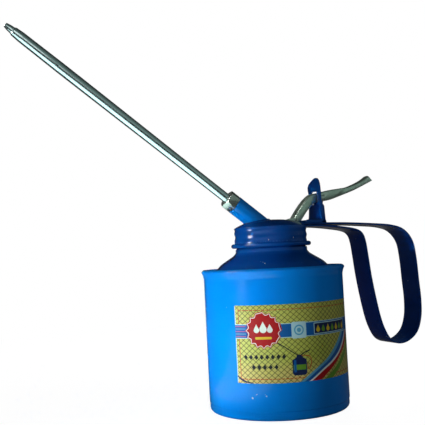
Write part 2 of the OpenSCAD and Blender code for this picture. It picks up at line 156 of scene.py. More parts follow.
class Paint:
    """A Principled material with a few shared ways to add detail in object coordinates."""

    def __init__(self, name, colour, metallic=0.0, roughness=0.4, **sockets):
        self.material = bpy.data.materials.new(name)
        self.material.use_nodes = True
        self.tree = self.material.node_tree
        self.shader = self.tree.nodes["Principled BSDF"]
        self.shader.inputs["Base Color"].default_value = (*colour, 1)
        self.shader.inputs["Metallic"].default_value = metallic
        self.shader.inputs["Roughness"].default_value = roughness
        for socket, value in sockets.items():
            self.shader.inputs[socket.replace("_", " ")].default_value = value
        self.place = self.tree.nodes.new("ShaderNodeTexCoord").outputs["Object"]
        self.normal = None

    def add(self, kind, *inputs, **values):
        return shader_node(self.tree, kind, *inputs, **values)

    def join(self, start, end):
        self.tree.links.new(start, end)

    def stretched(self, scale, turn=(0, 0, 0)):
        return self.add("Mapping", self.place, None, turn, scale).outputs["Vector"]

    def noise(self, scale, detail=4, rough=0.55, at=None):
        return self.add("TexNoise", at or self.place, None, scale, detail, rough).outputs["Fac"]

    def cells(self, scale):
        return self.add("TexVoronoi", self.place, None, scale).outputs["Distance"]

    def remap(self, value, low, high, to_low=0.0, to_high=1.0):
        return self.add("MapRange", value, low, high, to_low, to_high).outputs["Result"]

    def maths(self, operation, a, b=None):
        return self.add("Math", a, b, operation=operation).outputs[0]

    def tint(self, mask, colour):
        """Lays a second colour over the base where the mask is 1."""
        node = self.add("Mix", data_type="RGBA")
        base = self.shader.inputs["Base Color"]
        if base.links:
            self.join(base.links[0].from_socket, node.inputs["A"])
        else:
            node.inputs["A"].default_value = base.default_value
        node.inputs["B"].default_value = (*colour, 1)
        self.join(mask, node.inputs["Factor"])
        self.join(node.outputs["Result"], base)

    def roughen(self, value):
        self.join(value, self.shader.inputs["Roughness"])

    def bump(self, height, depth, strength=1.0):
        node = self.add("Bump")
        node.inputs["Distance"].default_value = depth
        node.inputs["Strength"].default_value = strength
        self.join(height, node.inputs["Height"])
        if self.normal:
            self.join(self.normal, node.inputs["Normal"])
        self.normal = node.outputs["Normal"]
        self.join(self.normal, self.shader.inputs["Normal"])

    def edge_wear(self, colour, low=0.56, high=0.66, amount=0.6):
        edge = self.remap(self.add("NewGeometry").outputs["Pointiness"], low, high)
        broken = self.remap(self.noise(900, 3), 0.45, 0.6, 0, amount)
        self.tint(self.maths("MULTIPLY", edge, broken), colour)


def enamel(name, colour, gloss=0.16):
    """Sprayed enamel: orange peel, dust nibs, slight cloudiness and thin edges."""
    paint = Paint(name, colour, 0, gloss, Specular_IOR_Level=0.04, Coat_Weight=0.45, Coat_Roughness=0.05)
    deep = tuple(c * 0.72 for c in colour)
    paint.tint(paint.remap(paint.noise(38, 3), 0.35, 0.75, 0, 0.45), deep)
    dust = paint.remap(paint.cells(210), 0.05, 0.16, 1, 0)
    sparse = paint.remap(paint.noise(120, 1), 0.6, 0.66)
    paint.roughen(paint.remap(paint.noise(150, 3), 0.3, 0.7, gloss - 0.03, gloss + 0.08))
    paint.bump(paint.noise(480, 2, 0.4), 0.00004, 0.35)
    paint.bump(paint.maths("MULTIPLY", dust, sparse), 0.00012, 0.8)
    paint.edge_wear(tuple(min(1, c * 1.5 + 0.02) for c in colour), 0.6, 0.72, 0.5)
    chips = paint.maths("MULTIPLY", paint.remap(paint.noise(330, 2), 0.7, 0.73), sparse)
    paint.tint(chips, (0.55, 0.68, 0.72))
    return paint.material


def drawn_steel(name, colour, roughness, turn=(0, 0, 0), grain=(900, 900, 12)):
    """Bright metal with lines drawn along one direction, and faint stains."""
    paint = Paint(name, colour, 1, roughness)
    lines = paint.noise(1, 4, 0.6, paint.stretched(grain, turn))
    paint.tint(paint.remap(lines, 0.4, 0.75, 0, 0.35), tuple(c * 0.6 for c in colour))
    paint.tint(paint.remap(paint.noise(110, 4), 0.55, 0.8, 0, 0.4), tuple(c * 0.55 for c in colour))
    paint.roughen(paint.remap(lines, 0.3, 0.7, roughness - 0.05, roughness + 0.1))
    paint.bump(lines, 0.000004, 0.06)
    return paint.material


def stamped_steel(name, colour):
    """Pressed, plated sheet: cloudy, scratched along its length and bright on its edges."""
    paint = Paint(name, colour, 1, 0.3)
    cloud = paint.noise(260, 4, 0.6)
    paint.tint(paint.remap(cloud, 0.45, 0.7, 0, 0.45), (0.3, 0.38, 0.3))
    paint.tint(paint.remap(paint.noise(150, 3), 0.56, 0.7, 0, 0.6), (0.9, 1, 0.88))
    scratches = paint.noise(1, 2, 0.5, paint.stretched((120, 700, 1800), (0, -0.4, 0)))
    paint.roughen(paint.remap(cloud, 0.3, 0.7, 0.22, 0.38))
    paint.bump(cloud, 0.00005, 0.35)
    paint.bump(scratches, 0.00002, 0.25)
    paint.edge_wear((0.95, 1, 0.93), 0.53, 0.6, 0.8)
    return paint.material


def turned_brass(name, colour):
    paint = Paint(name, colour, 1, 0.28)
    rings = paint.noise(1, 3, 0.5, paint.stretched((60, 60, 3000)))
    paint.tint(paint.remap(paint.noise(200, 5), 0.5, 0.75, 0, 0.6), (0.28, 0.17, 0.05))
    paint.roughen(paint.remap(rings, 0.3, 0.7, 0.22, 0.38))
    paint.bump(rings, 0.00003, 0.5)
    paint.edge_wear((0.95, 0.8, 0.5), 0.54, 0.62, 0.6)
    return paint.material


def black_rubber(name):
    paint = Paint(name, (0.018, 0.017, 0.016), 0, 0.7)
    grain = paint.noise(900, 5)
    paint.tint(paint.remap(grain, 0.5, 0.8, 0, 0.5), (0.06, 0.055, 0.05))
    paint.roughen(paint.remap(grain, 0.3, 0.7, 0.6, 0.85))
    paint.bump(grain, 0.00006, 0.5)
    return paint.material


def oiled_leather(name):
    paint = Paint(name, (0.16, 0.07, 0.025), 0, 0.45)
    pores = paint.cells(1500)
    paint.tint(paint.remap(paint.noise(260, 4), 0.45, 0.75, 0, 0.7), (0.05, 0.02, 0.01))
    paint.roughen(paint.remap(paint.noise(500), 0.3, 0.7, 0.35, 0.6))
    paint.bump(pores, 0.00008, 0.6)
    return paint.material


VARNISH = {"Specular_IOR_Level": 0.3, "Coat_Weight": 0.12, "Coat_Roughness": 0.2}


def print_ink(name, colour, roughness=0.34):
    """Printed paper under varnish: fine screen grain and slight fading."""
    paint = Paint(name, colour, 0, roughness, **VARNISH)
    paint.tint(paint.remap(paint.noise(2600, 2), 0.4, 0.7, 0, 0.25), tuple(c * 0.7 for c in colour))
    paint.tint(paint.remap(paint.noise(90, 3), 0.5, 0.8, 0, 0.25), tuple(min(1, c + 0.08) for c in colour))
    paint.roughen(paint.remap(paint.noise(300), 0.3, 0.7, roughness - 0.05, roughness + 0.12))
    paint.bump(paint.noise(1400, 3), 0.00001, 0.3)
    return paint.material


SPOUT_TURN = (0, math.atan2(-SPOUT_DIR.x, SPOUT_DIR.z), 0)
BLUE = enamel("blue_enamel_paint", (0.0005, 0.235, 0.82))
# The same blue enamel darkened: painted shade for the shoulder, cap, braze, bracket and rivets, which lie
# away from the light
SHADED_BLUE = enamel("blue_enamel_painted_shade", (0.0005, 0.066, 0.33))
# The same blue enamel darker still: painted shade for the handle strap, which lies in the can's shadow
DEEP_SHADED_BLUE = enamel("blue_enamel_painted_deep_shade", (0.0005, 0.05, 0.27))
BRIGHT = drawn_steel("bright_drawn_steel", (0.72, 0.86, 0.86), 0.18, SPOUT_TURN)
NUT_STEEL = stamped_steel("nut_plated_steel", (0.62, 0.66, 0.6))
LEVER_STEEL = stamped_steel("lever_plated_steel", (0.68, 0.8, 0.68))
BRASS = turned_brass("pump_turned_brass", (0.62, 0.42, 0.14))
RUBBER = black_rubber("seal_black_rubber")
LEATHER = oiled_leather("cup_oiled_leather")
SPRING = drawn_steel("spring_wire_steel", (0.35, 0.37, 0.37), 0.32)


# ---------------------------------------------------------------- mesh tools

def fillet(points, steps=5):
    """Closed outline from (x, y, radius) corners, each rounded by its own radius."""
    outline = []
    for i, (x, y, radius) in enumerate(points):
        here = Vector((x, y))
        back = Vector(points[i - 1][:2]) - here
        on = Vector(points[(i + 1) % len(points)][:2]) - here
        if radius <= 0:
            outline.append(here)
            continue
        half = back.angle(on) / 2
        reach = min(radius / math.tan(half), 0.48 * back.length, 0.48 * on.length)
        back.normalize()
        on.normalize()
        radius = reach * math.tan(half)
        centre = here + (back + on).normalized() * (radius / math.sin(half))
        start, end = here + back * reach, here + on * reach
        for k in range(steps + 1):
            outline.append(centre + (start.lerp(end, k / steps) - centre).normalized() * radius)
    return outline


def smooth(points, steps):
    """Catmull-Rom curve through a short list of points."""
    points = [Vector(p) for p in points]
    last = len(points) - 1
    curve = []
    for i in range(last):
        a, b, c, d = points[max(i - 1, 0)], points[i], points[i + 1], points[min(i + 2, last)]
        for k in range(steps):
            t = k / steps
            curve.append(0.5 * (2 * b + (c - a) * t + (2 * a - 5 * b + 4 * c - d) * t ** 2
                                + (3 * b - a - 3 * c + d) * t ** 3))
    return curve + [points[last]]


def ease(value, low, high):
    t = max(0.0, min(1.0, (value - low) / (high - low)))
    return t * t * (3 - 2 * t)


def arc(x, y, radius, degrees):
    """Points on a circle, one at each of the angles."""
    return [Vector((x + radius * math.cos(a), y + radius * math.sin(a))) for a in map(math.radians, degrees)]


def loft(bm, rows, closed=False):
    """Skin over rows of points. It runs round to the first row when closed, and otherwise has two caps."""
    count = len(rows[0])
    for here, on in zip(rows, rows[1:] + rows[:1] if closed else rows[1:]):
        for j in range(count):
            bm.faces.new((here[j], on[j], on[(j + 1) % count], here[(j + 1) % count]))
    if not closed:
        bm.faces.new(rows[0])
        bm.faces.new(list(reversed(rows[-1])))


def revolve(bm, outline, segments, place=Matrix.Identity(4), shape=None):
    """Turns a closed (r, z) outline round the place's Z axis. shape may move each point."""
    rings = []
    for k in range(segments):
        angle = TAU * k / segments
        ring = []
        for r, z in outline:
            if shape:
                r, z = shape(r, z, angle)
            ring.append(bm.verts.new(place @ Vector((r * math.cos(angle), r * math.sin(angle), z))))
        rings.append(ring)
    loft(bm, rings, closed=True)


def extrude_outline(bm, outline, low, high, to_3d):
    """Solid between two copies of a flat outline. to_3d(x, y, h) gives a point's place."""
    bottom = [bm.verts.new(to_3d(x, y, low)) for x, y in outline]
    top = [bm.verts.new(to_3d(x, y, high)) for x, y in outline]
    bm.faces.new(bottom)
    bm.faces.new(list(reversed(top)))
    for i in range(len(outline)):
        j = (i + 1) % len(outline)
        bm.faces.new((bottom[i], top[i], top[j], bottom[j]))


def build(name, bm, material=None, sharp=35):
    """Mesh object in metres from a bmesh in millimetres."""
    bmesh.ops.remove_doubles(bm, verts=bm.verts, dist=1e-4)
    bmesh.ops.recalc_face_normals(bm, faces=bm.faces)
    bmesh.ops.scale(bm, vec=(MM, MM, MM), verts=bm.verts)
    mesh = bpy.data.meshes.new(name)
    bm.to_mesh(mesh)
    bm.free()
    mesh.shade_smooth()
    mesh.set_sharp_from_angle(angle=math.radians(sharp))
    if material:
        mesh.materials.append(material)
    piece = bpy.data.objects.new(name, mesh)
    bpy.context.collection.objects.link(piece)
    return piece


def turned(name, outline, segments, material=None, place=Matrix.Identity(4), shape=None):
    bm = bmesh.new()
    revolve(bm, outline, segments, place, shape)
    return build(name, bm, material)


def settle(piece, sharp=35):
    """Applies the modifiers of a piece and throws its helpers away."""
    graph = bpy.context.evaluated_depsgraph_get()
    mesh = bpy.data.meshes.new_from_object(piece.evaluated_get(graph))
    piece.modifiers.clear()
    piece.data = mesh
    mesh.shade_smooth()
    mesh.set_sharp_from_angle(angle=math.radians(sharp))
    return piece


def cut(piece, *cutters, operation="DIFFERENCE"):
    for cutter in cutters:
        tool = piece.modifiers.new("cut", "BOOLEAN")
        tool.operation = operation
        tool.solver = "EXACT"
        tool.object = cutter
    settle(piece)
    for cutter in cutters:
        bpy.data.objects.remove(cutter)
    return piece


def soften(piece, width, segments=2, angle=32, sharp=35):
    bevel = piece.modifiers.new("soften", "BEVEL")
    bevel.width = width * MM
    bevel.segments = segments
    bevel.limit_method = "ANGLE"
    bevel.angle_limit = math.radians(angle)
    bevel.use_clamp_overlap = True
    return settle(piece, sharp)


def prism(name, outline, low, high, to_3d, material=None):
    bm = bmesh.new()
    extrude_outline(bm, outline, low, high, to_3d)
    return build(name, bm, material)


def flat_xy(x, y, h):
    return Vector((x, y, h))


def flat_xz(x, z, h):
    return Vector((x, h, z))


def rod(name, radius, low, high, place=Matrix.Identity(4), material=None, segments=64, round_by=0.15):
    """Turned pin with rounded ends."""
    outline = [(0, low, 0), (radius, low, round_by), (radius, high, round_by), (0, high, 0)]
    return turned(name, fillet(outline), segments, material, place)


def claim(piece, body, slot, *nodes):
    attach(piece, body)
    if nodes:
        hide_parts(*nodes)
    return piece


# ---------------------------------------------------------------- can

def can_shell():
    """Drawn can with a stepped bottom seam, a dished bottom and a flared, rolled rim."""
    wall, dish, bottom = 0.6, 1.3, 2
    outside = fillet([(0, dish, 0), (CAN_R - 7, dish, 1.5), (CAN_R - 4.6, 0, 1.2),
                      (CAN_R - 0.25, 0, CORNER_R - 0.3), (CAN_R - 0.25, 4.6, 0.3), (CAN_R, 5.1, 0.3),
                      (CAN_R, CAN_H - 3.6, 6), (CAN_R + 0.5, CAN_H - 1.6, 3),
                      (CAN_R + 1.35, CAN_H + 0.1, 0.8), (CAN_R + 0.2, CAN_H + 1.25, 0.8),
                      (CAN_R - 0.4, CAN_H + 1.3, 0.2), (CAN_R - wall, CAN_H + 0.75, 0)])
    inside = fillet([(CAN_R - wall, CAN_H - 1.4, 0), (CAN_R - wall, bottom, 1.4), (0, bottom, 0)])
    return claim(turned("can_shell", outside + inside, 224, BLUE), "can", "blue_enamel", "can_body")


def shoulder_shell():
    """Pressed shoulder with its collar and a rolled thread on the neck."""
    neck_r, neck_low, neck_top, collar_r = 18.4, 87.2, shoulder_high.z - 0.02, 19.7
    thread_low, thread_top, ridge, ridge_width = neck_low + 0.1, 95.2, 0.55, 0.16
    flange = CAN_H + 0.5
    cone = smooth([(collar_r, 84.6), (collar_r + 1.2, 83.1), (collar_r + 3.7, 81.4), (27.8, 78.6), (30, 76.5),
                   (31.4, flange - 0.05), (33, flange - 0.05)], 6)
    neck = [(neck_r, neck_top - 0.25 * k) for k in range(1, 32)]
    outside = [(neck_r - 0.6, neck_top)] + neck
    outside += [(neck_r, neck_low), (collar_r - 0.4, 86.6), (collar_r, 86.2)]
    edge = [(CAN_R + 0.1, flange - 0.05), (CAN_R + 0.25, flange - 0.2), (CAN_R + 0.25, flange - 0.6)]
    inside = [(p[0] - 0.45, p[1] - 0.55) for p in reversed(cone)]
    inside += [(collar_r - 0.6, 86.1), (neck_r - 0.6, 86.6)]

    def thread(r, z, angle):
        if z > neck_top - 0.1 or z < thread_low or r < neck_r - 0.1:
            return r, z
        turn = (z / THREAD_PITCH - angle / TAU) % 1
        fade = ease(z, thread_low, thread_low + 1) * (1 - ease(z, thread_top - 1, thread_top))
        return r + ridge * fade * math.exp(-((turn - 0.5) / ridge_width) ** 2), z

    shell = turned("shoulder_shell", outside + cone + edge + inside, 224, SHADED_BLUE, shape=thread)
    return claim(shell, "can", "blue_enamel", "can_shoulder")


# ---------------------------------------------------------------- cap

def dome_height(r):
    k = min(1.0, max(0.0, r / CAP_R))
    return DOME_EDGE + (DOME_TOP - DOME_EDGE) * (1 - k ** 3)


def seated(x, y, z):
    """Height of the dome once the strap's flat seat has been pressed into it."""
    beyond_x = SEAT_X - x
    beyond_y = abs(y) - SEAT_HALF
    away = math.hypot(max(beyond_x, 0), max(beyond_y, 0)) if max(beyond_x, beyond_y) > 0 else 0
    keep = ease(away, 0, 1.1)
    return SEAT_Z + (z - SEAT_Z) * keep if z > SEAT_Z else z


def cap_shell():
    """Screw cap with helical rolled ridges, a bottom bead, a domed top and a pressed seat."""
    ridge_low, ridge_top, ridge = 90, 97.4, 0.2
    bead = arc(CAP_R + 0.8, SKIRT_LOW + CAP_BEAD_R, CAP_BEAD_R, range(130, -150, -12))
    dome = [(r, dome_height(r)) for r in (CAP_R * (1 - (1 - k / 40) ** 1.6) for k in range(41))]
    skirt = [(CAP_R, DOME_EDGE - 0.3 * k) for k in range(1, 25)]
    inner = [(CAP_R - 0.6, SKIRT_LOW + 0.2), (CAP_R - 0.6, PLATE_LOW), (0, PLATE_LOW)]

    def press(r, z, angle):
        if abs(r - CAP_R) < 0.01 and ridge_low < z < ridge_top + 0.2:
            turn = (z - ridge_low - 1.4) / THREAD_PITCH - angle / TAU
            fade = ease(z, ridge_low, ridge_low + 1) * (1 - ease(z, ridge_top - 0.8, ridge_top))
            r -= fade * (ridge + ridge * math.cos(TAU * turn))
        if z > PLATE_LOW + 0.2:
            z = seated(r * math.cos(angle), r * math.sin(angle), z)
        return r, z

    cap = turned("cap_shell", dome + skirt + bead + inner, 320, SHADED_BLUE, shape=press)
    well = rod("well_cutter", WELL_R, PLATE_LOW - 2, DOME_TOP + 2, Matrix.Translation((PUMP_X, 0, 0)))
    bore = rod("socket_cutter", SOCKET_R - 0.15, -20, 40, ALONG_SPOUT)
    return claim(soften(cut(cap, well, bore), 0.12, 2, 50), "pump_head", "blue_enamel", "screw_cap")


def braze_fillet():
    """Bead of braze where the socket leaves the dome, under the same paint."""
    stations, sides = 96, 12
    side = ALONG_SPOUT.to_3x3()
    bm = bmesh.new()
    loops = []
    for k in range(stations):
        angle = TAU * k / stations
        radial = side @ Vector((math.cos(angle), math.sin(angle), 0))
        low, high = -5.0, 20.0
        # Halving finds how far up this line on the socket's side the dome ends
        for _ in range(30):
            middle = (low + high) / 2
            centre = SPOUT_ORIGIN + radial * SOCKET_R + SPOUT_DIR * middle
            if centre.z > seated(centre.x, centre.y, dome_height(math.hypot(centre.x, centre.y))):
                high = middle
            else:
                low = middle
        size = 0.55 + 0.12 * math.sin(5 * math.atan2(centre.y, centre.x))
        loops.append([bm.verts.new(centre + (radial * math.cos(b) + SPOUT_DIR * math.sin(b)) * size)
                      for b in (TAU * j / sides for j in range(sides))])
    loft(bm, loops, closed=True)
    return claim(build("socket_braze", bm, SHADED_BLUE), "pump_head", "blue_enamel")


# ---------------------------------------------------------------- spout

def spout():
    """Painted socket, tapered tube, stepped nozzle and hexagon nut on the spout's axis."""
    socket_low, seat, bore_r, seat_r = -3, 18.6, 1.8, 3.6
    socket = fillet([(bore_r, socket_low, 0), (SOCKET_R, socket_low, 0), (SOCKET_R, SOCKET_END, 0.35),
                     (seat_r, SOCKET_END, 0.2), (seat_r, seat, 0), (bore_r, seat, 0)])
    claim(turned("socket_body", socket, 96, BLUE, ALONG_SPOUT), "pump_head", "blue_enamel", "spout_socket")

    tube_r, end_r, wall = 2.55, 2.85, 0.7
    tube_low, taper_low, tip_low = 12, 34, SPOUT_REACH - 32
    taper = [(tube_r + (end_r - tube_r) * ease(k, 0, 24), taper_low + (tip_low - taper_low) * k / 24)
             for k in range(25)]
    pipe = [(tube_r - wall, tube_low), (tube_r, tube_low)] + taper
    pipe += [(end_r - wall, tip_low), (tube_r - wall, taper_low)]
    claim(turned("spout_pipe", pipe, 72, BRIGHT, ALONG_SPOUT), "pump_head", "bright_steel", "spout_tube")

    step, end, hole_r = SPOUT_REACH - 4.6, SPOUT_REACH - 0.2, 0.6
    nozzle = fillet([(hole_r, tip_low - 6, 0), (end_r - 0.72, tip_low - 6, 0), (end_r - 0.72, tip_low, 0),
                     (end_r - 0.02, tip_low, 0.1), (end_r - 0.1, tip_low + 10, 0), (end_r - 0.2, step - 5, 3),
                     (end_r - 0.5, step - 0.7, 0.4), (1.9, step, 0.25), (1.7, step + 2, 1),
                     (1.2, end, 0.35), (hole_r, end, 0.1)])
    claim(turned("spout_nozzle", nozzle, 72, BRIGHT, ALONG_SPOUT), "pump_head", "bright_steel", "spout_tip")

    flats, nut_end = 9.2, SOCKET_END + 5.7
    corner = flats / math.sqrt(3)
    bm = bmesh.new()
    extrude_outline(bm, arc(0, 0, corner, range(30, 390, 60)), SOCKET_END, nut_end, flat_xy)
    bmesh.ops.transform(bm, matrix=ALONG_SPOUT, verts=bm.verts)
    nut = build("nut_hexagon", bm, NUT_STEEL)
    cone = [(0, SOCKET_END - 1), (corner + 1, SOCKET_END - 1), (corner + 1, nut_end - 1.1),
            (flats / 2 - 0.3, nut_end + 0.01), (0, nut_end + 0.01)]
    cut(nut, turned("nut_chamfer", cone, 96, NUT_STEEL, ALONG_SPOUT), operation="INTERSECT")
    hole = rod("nut_bore", tube_r + 0.06, SOCKET_END - 3, SOCKET_END + 9, ALONG_SPOUT)
    claim(soften(cut(nut, hole), 0.16), "pump_head", "plated_steel", "spout_nut")


# ---------------------------------------------------------------- handle, bracket and rivets

def clearance(name, low, high):
    """Cutter for the well and the lever's way through the strap."""
    half, wide = LEVER_GAP, WELL_R + 0.2
    turn = math.degrees(math.asin(half / wide))
    well = arc(PUMP_X, 0, wide, (turn + (90 - turn) * k / 8 for k in range(9)))
    side = [(PUMP_X + 8, half)] + well + [(0, wide)]
    outline = [(x, -y) for x, y in side] + [(x, y) for x, y in reversed(side)]
    return prism(name, outline, low, high, flat_xy)


def strap_handle():
    """One strap bent round into a closed loop, with rolled edges."""
    top = FOOT_Z - STRAP_T / 2
    low = SEAT_Z + STRAP_T / 2
    route = smooth([(9, top), (20, top), (30, top - 0.15), (46, 98.5), (62, 97.6), (75, 96.4), (83.6, 93.6),
                    (89.3, 86.9), (91.2, 77), (92, 64), (92.7, 52), (91.9, 42), (88.6, 34), (82.6, 29.5),
                    (76, 28.3), (70.2, 30.6), (66.5, 36), (63.7, 43.8), (61.1, 56), (59.1, 68), (57.8, 79),
                    (56.6, 87.8), (54.6, 92.6), (50, 95), (40, 96.6), (30, 97.6), (21, low), (9, low)], 8)
    half_w, half_t = STRAP_W / 2, STRAP_T / 2 - 0.01
    section = fillet([(-half_w, -half_t, 0.4), (half_w, -half_t, 0.4), (half_w, half_t, 0.4),
                      (-half_w, half_t, 0.4)], 3)
    rows = []
    bm = bmesh.new()
    for i, p in enumerate(route):
        along = (route[min(i + 1, len(route) - 1)] - route[max(i - 1, 0)]).normalized()
        normal = Vector((-along.y, along.x))
        rows.append([bm.verts.new((p.x + n * normal.x, y, p.y + n * normal.y)) for y, n in section])
    loft(bm, rows)
    strap = build("strap_loop", bm, DEEP_SHADED_BLUE)
    cut(strap, clearance("strap_cutter", 90, 105))
    return claim(strap, "pump_head", "blue_enamel", "handle_strap")


def bracket():
    """Bent sheet bracket: foot, upright with the lever's window, and two ears behind it."""
    foot_x, plate_x, corner = 17.6, 28.8, 2.2
    bend = Vector((plate_x + SHEET_T - corner, FOOT_Z + corner))
    arc_length = math.pi / 2 * (corner - SHEET_T / 2)
    foot_end = bend.x
    upright_start = foot_end + arc_length

    def height_at(z):
        return upright_start + z - bend.y

    def bent(s, y, h):
        """h is the distance up from the foot's underside, or forward from the upright's back."""
        if s <= foot_end:
            return Vector((s, y, FOOT_Z + h))
        if s >= upright_start:
            return Vector((plate_x + SHEET_T - h, y, bend.y + s - upright_start))
        turn = (s - foot_end) / arc_length * math.pi / 2
        r = corner - h
        return Vector((bend.x + r * math.sin(turn), y, bend.y - r * math.cos(turn)))

    leaf = [(7.6, height_at(101.2)), (6.8, height_at(103)), (5.7, height_at(110)), (5.3, height_at(115.6))]
    leaf += [(y, height_at(z)) for y, z in smooth(
        [(6.2, 118.2), (6.2, 120.2), (5, 121.9), (2.4, 123.3), (0, 124.3), (-2.7, 124.95), (-4.6, 123.8),
         (-5.8, 121), (-6.3, 117)], 6)]
    leaf += [(-6.6, height_at(110)), (-7, height_at(103)), (-7.6, height_at(101.2))]
    outline = [Vector((foot_x, -7.9)), Vector((foot_x, 7.9))] + [Vector((s, y)) for y, s in leaf]
    bm = bmesh.new()
    face = bm.faces.new([bm.verts.new((p.x, p.y, 0)) for p in outline])
    bmesh.ops.triangulate(bm, faces=[face])
    for k in range(9):
        s = foot_end + arc_length * k / 8
        geometry = bm.verts[:] + bm.edges[:] + bm.faces[:]
        bmesh.ops.bisect_plane(bm, geom=geometry, plane_co=(s, 0, 0), plane_no=(1, 0, 0), dist=1e-5)
    sheet = bmesh.ops.extrude_face_region(bm, geom=bm.faces[:])
    for v in sheet["geom"]:
        if isinstance(v, bmesh.types.BMVert):
            v.co.z = SHEET_T
    for v in bm.verts:
        v.co = bent(v.co.x, v.co.y, v.co.z)
    plate = build("bracket_sheet", bm, SHADED_BLUE)
    gap = LEVER_GAP
    window = prism("window_cutter", fillet([(-gap, 109.9, 1), (gap, 109.9, 1), (gap, 117.3, 1.6),
                                            (-gap, 117.3, 1.6)]),
                   plate_x - 2, plate_x + 4, lambda y, z, h: Vector((h, y, z)))
    notch = prism("foot_cutter", fillet([(foot_x - 2, -gap, 0), (21, -gap, 1), (21, gap, 1),
                                         (foot_x - 2, gap, 0)]), FOOT_Z - 1, FOOT_Z + 4, flat_xy)
    cut(plate, window, notch)
    claim(soften(plate, 0.3, 3), "pump_head", "blue_enamel", "lever_bracket")

    ear_low, ear_high = 29.4, 35.4
    ear = [Vector((ear_low, FOOT_Z)), Vector((ear_high, FOOT_Z))]
    ear += [Vector((34.9, 101.6)), Vector((34.5, 109.2)), Vector((33.6, 110.4))]
    ear += arc(PIVOT.x, PIVOT.z, 1.7, range(-20, 151, 17)) + [Vector((ear_low, 112.6))]
    for side, y in (("near", -1.8), ("far", 0.8)):
        cheek = prism(f"bracket_ear_{side}", ear, y, y + 1, flat_xz, SHADED_BLUE)
        claim(soften(cheek, 0.15), "pump_head", "blue_enamel")
    pad_top = FOOT_Z + 1.3
    pad = [(ear_low, FOOT_Z), (ear_high, FOOT_Z), (35.2, pad_top), (ear_low, pad_top)]
    pad = prism("bracket_ear_foot", pad, -1.8, 1.8, flat_xz, SHADED_BLUE)
    claim(soften(pad, 0.15), "pump_head", "blue_enamel")


def dome_head(bm, radius, height, place):
    steps = 10
    angles = [math.pi / 2 * k / steps for k in range(steps + 1)]
    revolve(bm, [(radius * math.sin(a), height * math.cos(a)) for a in angles] + [(0, 0)], 40, place)


def rivets():
    """Handle rivets with domed heads."""
    foot_top = FOOT_Z + SHEET_T
    bm = bmesh.new()
    for side in (-1, 1):
        for x, y, shank, head, low, high in ((22.5, 5 * side, 1.45, 2.2, SEAT_Z + 0.05, foot_top),
                                             (PUMP_X, 6.5 * side, 0.9, 1.35, PLATE_LOW - 1, FOOT_Z + 0.05)):
            at = Matrix.Translation((x, y, 0))
            revolve(bm, [(0, low), (shank, low), (shank, high), (0, high)], 40, at)
            dome_head(bm, head, 0.6, at @ Matrix.Translation((0, 0, high - 0.01)))
    claim(build("rivet_set", bm, SHADED_BLUE), "pump_head", "blue_enamel", "strap_rivets")


def pins():
    """Riveted pivot pin, and the cross pin in the plunger rod's eye."""
    across = Matrix.Translation(PIVOT) @ ACROSS
    half = LEVER_HALF + 0.1
    bm = bmesh.new()
    revolve(bm, [(0, -half), (1, -half), (1, half), (0, half)], 48, across)
    for flip in (0, math.pi):
        dome_head(bm, 1.55, 0.5, across @ Matrix.Rotation(flip, 4, "X") @ Matrix.Translation((0, 0, half)))
    claim(build("pivot_rivet", bm, NUT_STEEL), "pump_head", "plated_steel", "lever_pin")
    half = LEVER_HALF + 0.35
    across = Matrix.Translation(CROSS_PIN) @ ACROSS
    pin = rod("cross_pin_turned", 0.9, -half, half, across, NUT_STEEL, 40, 0.2)
    claim(pin, body_of("rod_cross_pin"), "plated_steel", "rod_cross_pin")


# ---------------------------------------------------------------- lever

